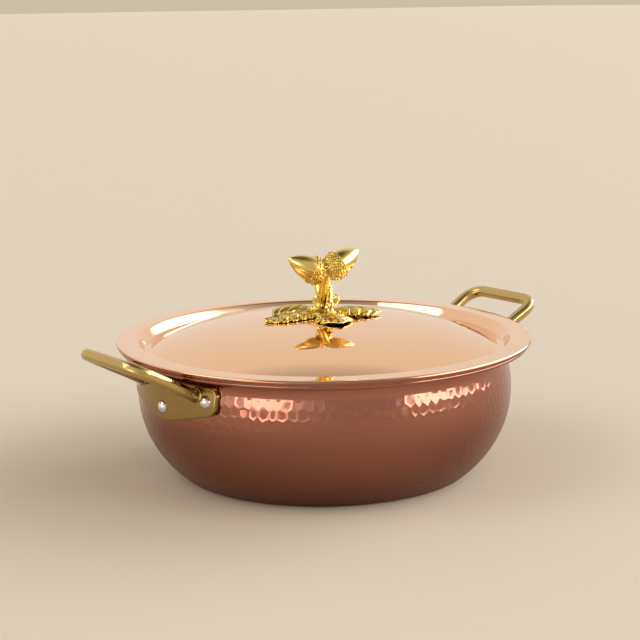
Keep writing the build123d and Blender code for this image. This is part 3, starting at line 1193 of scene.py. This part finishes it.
@dataclass(frozen=True)
class Leaf:
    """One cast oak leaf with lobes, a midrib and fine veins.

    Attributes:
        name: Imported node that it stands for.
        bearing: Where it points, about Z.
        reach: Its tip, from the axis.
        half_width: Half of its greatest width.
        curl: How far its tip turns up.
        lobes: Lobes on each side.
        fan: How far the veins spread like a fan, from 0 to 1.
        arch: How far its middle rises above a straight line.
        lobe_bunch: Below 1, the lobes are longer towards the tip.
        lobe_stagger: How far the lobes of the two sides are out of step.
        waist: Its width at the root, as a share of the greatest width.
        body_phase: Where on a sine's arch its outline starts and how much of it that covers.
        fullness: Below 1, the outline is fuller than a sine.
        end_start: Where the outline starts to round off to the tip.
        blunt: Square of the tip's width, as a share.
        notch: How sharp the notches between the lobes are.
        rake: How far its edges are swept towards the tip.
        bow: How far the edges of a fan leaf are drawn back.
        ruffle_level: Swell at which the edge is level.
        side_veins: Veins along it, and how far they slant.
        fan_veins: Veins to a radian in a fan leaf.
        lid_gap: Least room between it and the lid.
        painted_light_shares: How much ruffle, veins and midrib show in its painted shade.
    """

    name: str
    bearing: float
    reach: float
    half_width: float
    curl: float
    lobes: float
    fan: float
    arch: float
    root: float = 0.0055
    root_rise: float = 0.0022
    root_thickness: float = 0.0036
    thickness: float = 0.0024
    tip_gap: float = 0.0008
    sheet: float = 0.0011
    lobe_depth: float = 0.30
    ruffle: float = 0.0018
    rib: float = 0.0007
    rib_width: float = 0.0009
    vein: float = 0.00022
    droop: float = 0.0036
    along: int = 60
    across: int = 44
    lobe_bunch: float = 0.85
    lobe_stagger: float = 0.04
    waist: float = 0.25
    body_phase: tuple[float, float] = (0.08, 0.68)
    fullness: float = 0.8
    end_start: float = 0.74
    blunt: float = 0.04
    notch: float = 1.6
    rake: float = 0.35
    rake_power: float = 1.6
    bow: float = 0.28
    ruffle_level: float = 0.6
    ruffle_power: float = 0.8
    ruffle_start: float = 3.0
    side_veins: tuple[float, float] = (15.0, 3.2)
    fan_veins: float = 46.0
    fan_centre: float = 0.4
    vein_start: float = 5.0
    droop_power: float = 2.5
    curl_lift: float = 0.4
    crown_limit: float = 0.05
    lid_gap: float = 0.0003
    # Painted light of the leaf's middle level; lower places get painted shade.
    painted_light_level: float = 0.45
    painted_light_shares: tuple[float, float, float] = (0.5, 0.4, 0.3)

    def _middle(self, radius: float, lid: Lid) -> float:
        """Height of the blade's middle.

        Args:
            radius: How far from the axis.
            lid: The lid that the leaf lies over.

        Returns:
            The height.
        """
        tip = lid.crown_height(self.reach) + self.tip_gap + self.curl + self.thickness / 2
        root = lid.top + self.root_rise + self.root_thickness / 2
        share = (radius - self.root) / (self.reach - self.root)
        return root + (tip - root) * share + 4.0 * self.arch * share * (1.0 - share)

    def _outline(self, share: float, side: float) -> tuple[float, float]:
        """The leaf's lobed outline.

        Args:
            share: How far along the leaf, from 0 to 1.
            side: Which edge, -1 or 1.

        Returns:
            Half width there, and the swell of the lobes from 0 to 1.
        """
        phase = self.lobes * share**self.lobe_bunch + self.lobe_stagger * side
        swell = abs(math.sin(math.pi * phase))
        start, span = self.body_phase
        body = math.sin(math.pi * min(1.0, start + span * share)) ** self.fullness
        end = max(0.0, (share - self.end_start) / (1.0 - self.end_start))
        width = self.half_width * (self.waist + (1.0 - self.waist) * body)
        width *= math.sqrt(max(self.blunt, 1.0 - end * end))
        return width * (1.0 - self.lobe_depth * (1.0 - swell) ** self.notch), swell

    def build(self, wardrobe: Wardrobe, lid: Lid) -> None:
        """Builds the leaf.

        Args:
            wardrobe: Source of the materials.
            lid: The lid that it lies over.
        """
        mesh = bmesh.new()
        bmesh.ops.create_grid(mesh, x_segments=self.along, y_segments=self.across, size=1.0)
        # Painted shade: low places of the relief are painted darker.
        painted_light = {}
        for vert in mesh.verts:
            painted_light[vert.index] = self._shape(vert, lid)
        bmesh.ops.remove_doubles(mesh, verts=mesh.verts, dist=MERGE_GAP)
        mesh.normal_update()
        set_painted_light(mesh, lambda vert: painted_light[vert.index])
        shade_smooth(mesh)
        turn = Matrix.Rotation(math.radians(self.bearing), 3, "Z")
        bmesh.ops.rotate(mesh, cent=ORIGIN, matrix=turn, verts=mesh.verts)
        berth = Berth(Body.LID, Slot.GILT_LEAF, (self.name,))
        leaf = wardrobe.piece(mesh, f"veined_{self.name}", berth)
        add_thickness(leaf, self.sheet)
        add_subdivision(leaf, 1)

    def _shape(self, vert: BMVert, lid: Lid) -> float:
        """Moves one point of the flat grid to its place in the leaf.

        Args:
            vert: The point, whose X and Y run from -1 to 1.
            lid: The lid that the leaf lies over.

        Returns:
            How high the point lies in the leaf's relief, from 0 to 1, kept as its painted light.
        """
        share = (vert.co.x + 1.0) / 2.0
        side = vert.co.y
        edge = abs(side)
        width, swell = self._outline(share, math.copysign(1.0, side))
        sweep = self.rake * width * edge**self.rake_power * (1.0 - share) * (1.0 - self.fan)
        bow = 1.0 - self.fan * self.bow * edge**2
        along = self.root + ((self.reach - self.root) * share + sweep) * bow
        across = width * side
        radius = math.hypot(along, across)
        ruffle = self.ruffle * (swell - self.ruffle_level) * edge**self.ruffle_power
        ruffle *= min(1.0, share * self.ruffle_start)
        rib = self.rib * math.exp(-((across / self.rib_width) ** 2))
        veins = self._veins(share, edge, math.atan2(across, along - self.root * self.fan_centre))
        droop = self.droop * edge**self.droop_power * (1.0 if self.curl == 0 else -self.curl_lift)
        height = self._middle(min(radius, self.reach), lid) + ruffle + rib + veins - droop
        floor = lid.crown_height(min(radius, self.crown_limit)) + self.lid_gap + self.sheet
        vert.co = (along, across, max(height, floor))
        waves = (ruffle / self.ruffle, veins / self.vein, rib / self.rib)
        return self.painted_light_level + sum(part * wave for part, wave in zip(self.painted_light_shares, waves))

    def _veins(self, share: float, edge: float, angle: float) -> float:
        """Rise of the veins.

        Args:
            share: How far along the leaf, from 0 to 1.
            edge: How far towards its edge, from 0 to 1.
            angle: Angle of the place, seen from the middle of the fan.

        Returns:
            How far the surface rises or sinks.
        """
        count, slant = self.side_veins
        side_vein = math.cos(2.0 * math.pi * (share * count - edge * slant))
        fan_vein = math.cos(angle * self.fan_veins)
        rise = self.fan * fan_vein + (1.0 - self.fan) * side_vein
        return self.vein * rise * min(1.0, edge * self.vein_start)


@dataclass(frozen=True)
class Collar:
    """The low turned boss from which the twigs and leaves rise."""

    foot_radius: float = 0.0095
    edge: float = 0.0016
    height: float = 0.0058
    round_off: float = 0.0030
    slope: float = 35.0
    sides: int = 48

    def build(self, wardrobe: Wardrobe, lid: Lid) -> None:
        """Builds the collar.

        Args:
            wardrobe: Source of the materials.
            lid: The lid that it stands on.
        """
        mesh = bmesh.new()
        template = Template(mesh, (0.0, 0.0, lid.top))
        template.run(self.foot_radius, 2)
        template.heading += 90
        template.run(self.edge)
        template.bend(self.round_off, 90 - self.slope, 6)
        rest = self.height - (template.tip.co.z - lid.top)
        template.run(rest / math.sin(math.radians(self.slope)), 3)
        template.heading = 180
        template.run(template.tip.co.x, 2)
        lathe(mesh, self.sides)
        shade_smooth(mesh)
        berth = Berth(Body.LID, Slot.GILT_ROUGH, ("knob_foot",))
        wardrobe.piece(mesh, "knob_collar", berth)


@dataclass(frozen=True)
class Bud:
    """The small round bud beside the stem, with a collar round its nose."""

    bearing: float = -88.0
    out: float = 0.0078
    rise: float = 0.0086
    radius: float = 0.0023
    pitch: float = 35.0
    ball_turn: float = 100.0
    ledge_turn: float = 50.0
    ledge_share: float = 0.12
    nose_share: float = 0.85
    nose_turn: float = 80.0
    sides: int = 28

    def build(self, wardrobe: Wardrobe, lid: Lid) -> None:
        """Builds the bud.

        Args:
            wardrobe: Source of the materials.
            lid: The lid under it.
        """
        mesh = bmesh.new()
        template = Template(mesh, (0.0, 0.0, -self.radius))
        template.bend(self.radius, self.ball_turn, 10)
        template.heading += self.ledge_turn
        template.run(self.radius * self.ledge_share)
        template.heading = 90
        template.bend(self.radius * self.nose_share, self.nose_turn, 8)
        template.heading = 180
        template.run(template.tip.co.x)
        lathe(mesh, self.sides)
        shade_smooth(mesh)
        place = around(self.out, self.bearing, lid.top + self.rise)
        bmesh.ops.transform(mesh, matrix=aimed(place, self.bearing, self.pitch), verts=mesh.verts)
        berth = Berth(Body.LID, Slot.GILT_BRIGHT, ("knob_bud",))
        wardrobe.piece(mesh, "round_bud", berth)


@dataclass(frozen=True)
class Handle:
    """A cast loop handle, whose packed form is softened as a polished casting is, with painted
    shade on its plate.

    Attributes:
        side: Which side of the pan it is on.
    """

    side: str
    voxel: float = 0.0005
    rounds: int = 3
    # Radius where the painted shade on the plate is full, and radius beyond which the bars are left
    # bright.
    shaded_plate_radius: float = 0.126
    lit_bar_radius: float = 0.150

    def build(self, wardrobe: Wardrobe) -> None:
        """Builds the handle.

        Args:
            wardrobe: Source of the materials.
        """
        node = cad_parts[f"{self.side}_handle"]
        mesh = bmesh.new()
        mesh.from_mesh(node.data)
        bmesh.ops.remove_doubles(mesh, verts=mesh.verts, dist=MERGE_GAP)
        data = bpy.data.meshes.new("casting")
        mesh.to_mesh(data)
        mesh.free()
        casting = add_object("casting", data)
        skin = casting.modifiers.new("skin", "REMESH")
        skin.mode = "VOXEL"
        skin.voxel_size = self.voxel
        shown = casting.evaluated_get(bpy.context.evaluated_depsgraph_get())
        mesh = bmesh.new()
        mesh.from_mesh(shown.to_mesh())
        shown.to_mesh_clear()
        bpy.data.objects.remove(casting)
        bpy.data.meshes.remove(data)
        relax(mesh, mesh.verts, self.rounds)
        shade_smooth(mesh)
        # Painted shade: the plate by the pan is painted dark, fading to bright bars, as a painted
        # reflection of the dark room.
        width = self.lit_bar_radius - self.shaded_plate_radius
        set_painted_light(mesh, lambda vert: (vert.co.xy.length - self.shaded_plate_radius) / width)
        berth = Berth(Body.PAN, Slot.CAST_BRASS, (f"{self.side}_handle",))
        wardrobe.piece(mesh, f"cast_{self.side}_handle", berth)
        wardrobe.dress_node(f"{self.side}_handle_rivets", Slot.STEEL)


@dataclass(frozen=True)
class Softbox:
    """A large soft light, far enough away to light the whole floor evenly.

    Attributes:
        place: Direction that it shines from.
        strength: Its strength on a surface that faces it.
        width: How wide it looks from the pan.
        colour: Its colour.
    """

    place: Place
    strength: float
    width: float
    colour: Colour = (1.0, 1.0, 1.0)

    def hang(self, name: str) -> None:
        """Adds the light to the scene.

        Args:
            name: Name of the lamp.
        """
        lamp = bpy.data.lights.new(name, "SUN")
        lamp.energy = self.strength
        lamp.angle = math.radians(self.width)
        lamp.color = self.colour
        holder = add_object(name, lamp)
        holder.location = self.place
        holder.rotation_mode = "QUATERNION"
        holder.rotation_quaternion = (-Vector(self.place)).to_track_quat("-Z", "Y")


@dataclass(frozen=True)
class Window:
    """A bright upright window in the wall of the soft room.

    Attributes:
        bearing: Where it is, about Z.
        half_width: Half its width, at a distance of 1.
        top: Its height above the horizon, at a distance of 1.
        glow: Its brightness.
        blur: How softly its sides end.
        sill: How softly it ends at the horizon.
        fade: How far up it has faded out, as a share of its height.
        edge: How softly it ends at right angles to its bearing.
    """

    bearing: float
    half_width: float
    top: float
    glow: float
    blur: float
    sill: float = 0.03
    fade: float = 1.4
    edge: float = 0.05

    def share(self, graph: Graph, across: Signal, along: Signal, up: Signal) -> Signal:
        """How much of the window shows in a direction.

        Args:
            graph: Node tree of the world.
            across: X of the direction.
            along: Y of the direction.
            up: Z of the direction.

        Returns:
            A value from 0 to 1.
        """
        facing = around(1.0, self.bearing, 0.0)
        ahead = across * facing.x + along * facing.y
        aside = abs((along * facing.x - across * facing.y) / ahead)
        rise = up / ahead
        sides = 1.0 - graph.spread(aside, self.half_width - self.blur, self.half_width + self.blur)
        above = 1.0 - graph.spread(rise, self.top, self.top * self.fade)
        height = graph.spread(rise, 0.0, self.sill) * above
        return sides * height * graph.spread(ahead, 0.0, self.edge)


@dataclass(frozen=True)
class Studio:
    """Floor, lamps, world and camera."""

    lens: float = 90.0
    target: Place = (-0.002015, 0.001547, 0.10117)
    distance: float = 1.08588
    elevation: float = 11.23
    heading: Place = (-0.609, -0.793, 0.0)
    roll: float = 0.74
    floor_half: float = 60.0
    floor_colour: Colour = (0.565, 0.49, 0.385)
    far_floor: Colour = (0.60, 0.515, 0.39)
    horizon: Colour = (0.91, 0.84, 0.75)
    zenith: Colour = (0.14, 0.14, 0.14)
    front: Colour = (0.66, 0.60, 0.54)
    front_range: tuple[float, float] = (0.0, 0.8)
    wall_range: tuple[float, float] = (0.004, 0.03)
    zenith_range: tuple[float, float] = (0.72, 0.96)
    floor_roughness: float = 0.9
    world_level: float = 1.0
    windows: tuple[Window, ...] = (
        Window(-29.0, 1.1, 0.75, 5.2, 0.12),
        Window(192.0, 0.45, 0.45, 1.8, 0.45),
    )
    lamps: tuple[tuple[str, Softbox], ...] = (
        ("key", Softbox((-0.92, 0.39, 1.0), 0.7, 38.0, (1.0, 0.97, 0.93))),
        ("fill", Softbox((0.9, -1.3, 1.0), 0.1, 34.0)),
        ("low", Softbox((-0.955, -0.29, 0.08), 0.5, 30.0, (1.0, 0.95, 0.88))),
    )

    def build(self) -> None:
        """Builds everything that isn't part of the object."""
        self._floor()
        self._world()
        for name, lamp in self.lamps:
            lamp.hang(name)
        self._camera()
        bpy.context.scene.view_settings.view_transform = "Standard"

    def _floor(self) -> None:
        """A plain pale floor."""
        mesh = bmesh.new()
        bmesh.ops.create_grid(mesh, x_segments=1, y_segments=1, size=self.floor_half)
        data = bpy.data.meshes.new("floor")
        mesh.to_mesh(data)
        mesh.free()
        floor = add_object("floor", data)
        paint = bpy.data.materials.new("floor_paint")
        paint.use_nodes = True
        graph = Graph(paint.node_tree)
        inputs = {"Base Color": (*self.floor_colour, 1.0), "Roughness": self.floor_roughness}
        shader = graph.node("ShaderNodeBsdfPrincipled", {}, inputs)
        graph.node("ShaderNodeOutputMaterial", {}, {"Surface": shader})
        data.materials.append(paint)

    def _world(self) -> None:
        """A soft room: pale walls behind the pan, darker overhead and behind the camera."""
        world = bpy.data.worlds.new("studio")
        bpy.context.scene.world = world
        world.use_nodes = True
        graph = Graph(world.node_tree)
        where = graph.node("ShaderNodeTexCoord", output="Generated")
        across, along, up = graph.parts(where)
        toward_camera = across * self.heading[0] + along * self.heading[1]
        walls = graph.mix(
            graph.spread(toward_camera, *self.front_range), self.horizon, self.front
        )
        walls = graph.mix(graph.spread(up, *self.wall_range), self.far_floor, walls)
        for window in self.windows:
            share = window.share(graph, across, along, up)
            walls = graph.mix(share, walls, (window.glow,) * 3)
        sky = graph.mix(graph.spread(up, *self.zenith_range), walls, self.zenith)
        light = graph.node("ShaderNodeBackground", {}, {"Color": sky, "Strength": self.world_level})
        graph.node("ShaderNodeOutputWorld", {}, {"Surface": light})

    def _camera(self) -> None:
        """The camera at the photograph's angle."""
        lens = bpy.data.cameras.new("camera")
        lens.lens = self.lens
        camera = add_object("camera", lens)
        angle = math.radians(self.elevation)
        back = Vector(self.heading).normalized() * math.cos(angle) + Vector(UP) * math.sin(angle)
        camera.location = Vector(self.target) + back * self.distance
        turn = Quaternion(UP, -math.radians(self.roll))
        camera.rotation_mode = "QUATERNION"
        camera.rotation_quaternion = (-back).to_track_quat("-Z", "Y") @ turn
        bpy.context.scene.camera = camera


# Slot, bright colour, colour where toned or painted as in shade, roughness of each
METALS = (
    # Painted shade: both hammered copper colours are darker than the lid's copper, standing for the
    # dark reflections on the body.
    ShadedBelowMetal(
        Slot.HAMMERED_COPPER, (0.40, 0.165, 0.11), (0.16, 0.057, 0.034), 0.05, 0.50,
        tone_scale=7.0, grain_scale=1400.0, grain_height=0.000012, smear_share=0.15,
    ),
    # Painted shade: the lid's darker colour shows on the side of the hem as a painted dark
    # reflection, with faint random patches.
    TurnedMetal(
        Slot.POLISHED_COPPER, (0.88, 0.56, 0.35), (0.34, 0.125, 0.075), 0.05, 0.12,
        tone_scale=5.0, grain_scale=1200.0, grain_height=0.0000015, painted_light=True, patch_share=0.02,
    ),
    TurnedMetal(
        Slot.TIN, (0.74, 0.74, 0.72), (0.60, 0.60, 0.58), 0.26, 0.40,
        tone_scale=12.0, grain_scale=900.0, grain_height=0.00001,
    ),
    # Painted shade: the brass's darker colour falls mostly on the handles' plates, with random
    # patches of tone.
    Metal(
        Slot.CAST_BRASS, (0.56, 0.40, 0.15), (0.24, 0.15, 0.05), 0.12, 0.22,
        tone_scale=22.0, grain_scale=1200.0, grain_height=0.000006, painted_light=True,
    ),
    Metal(
        Slot.STEEL, (0.80, 0.80, 0.80), (0.66, 0.66, 0.66), 0.12, 0.22,
        tone_scale=40.0, grain_scale=1500.0, grain_height=0.000004,
    ),
    Metal(
        Slot.GILT_BRIGHT, (0.80, 0.60, 0.19), (0.62, 0.43, 0.11), 0.09, 0.16,
        tone_scale=60.0, grain_scale=1500.0, grain_height=0.000003,
    ),
    # Painted shade: the darker gilt colour falls in the grooves between the cups' nuggets, with
    # random patches of tone.
    Metal(
        Slot.GILT_ROUGH, (0.80, 0.59, 0.16), (0.36, 0.235, 0.045), 0.14, 0.30,
        tone_scale=60.0, grain_scale=1500.0, grain_height=0.000012, painted_light=True,
    ),
    # Painted shade: the leaves' darker gilt falls in their low places, with random patches of tone.
    Metal(
        Slot.GILT_LEAF, (0.82, 0.60, 0.17), (0.42, 0.27, 0.05), 0.12, 0.26,
        tone_scale=60.0, grain_scale=1500.0, grain_height=0.000008, painted_light=True,
    ),
)

STEEL_NODES = ("knob_screw", "knob_washer")

# Side, bearing, pitch, place and seed; a place is a radius, a bearing and a rise over the lid
ACORNS = (
    Acorn("left", 158.0, 26.7, around(0.0069, 151.8, Lid.top + 0.0322), 11),
    Acorn("right", -6.7, 26.9, around(0.0101, -19.0, Lid.top + 0.0347), 12),
)

# Name, bearing, reach, half width, curl, lobes, fan and arch
LEAVES = (
    Leaf("leaf_front_left", 158.5, 0.042, 0.0112, 0.0, 5.0, 0.15, 0.0012),
    Leaf("leaf_back_left", 110.0, 0.042, 0.0112, 0.0, 5.0, 0.15, 0.0032),
    Leaf("leaf_right", -21.0, 0.042, 0.0112, 0.0, 5.0, 0.5, 0.0026),
    Leaf("leaf_front", 254.0, 0.033, 0.0130, 0.0, 4.0, 0.8, 0.0012),
    Leaf("leaf_back", 47.0, 0.027, 0.0095, 0.0085, 4.0, 0.5, -0.0012),
)


def main() -> None:
    """Builds every piece in order."""
    logging.basicConfig(level=logging.INFO, format="%(name)s: %(message)s")
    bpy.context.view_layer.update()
    wardrobe = Wardrobe(METALS)
    for name in STEEL_NODES:
        wardrobe.dress_node(name, Slot.STEEL)
    PanBody().build(wardrobe)
    for side in ("left", "right"):
        Handle(side).build(wardrobe)
    lid = Lid()
    lid.build(wardrobe)
    for acorn in ACORNS:
        acorn.build(wardrobe)
    Twigs().build(wardrobe)
    Collar().build(wardrobe, lid)
    Bud().build(wardrobe, lid)
    for leaf in LEAVES:
        leaf.build(wardrobe, lid)
    Studio().build()


if __name__ == "__main__":
    main()
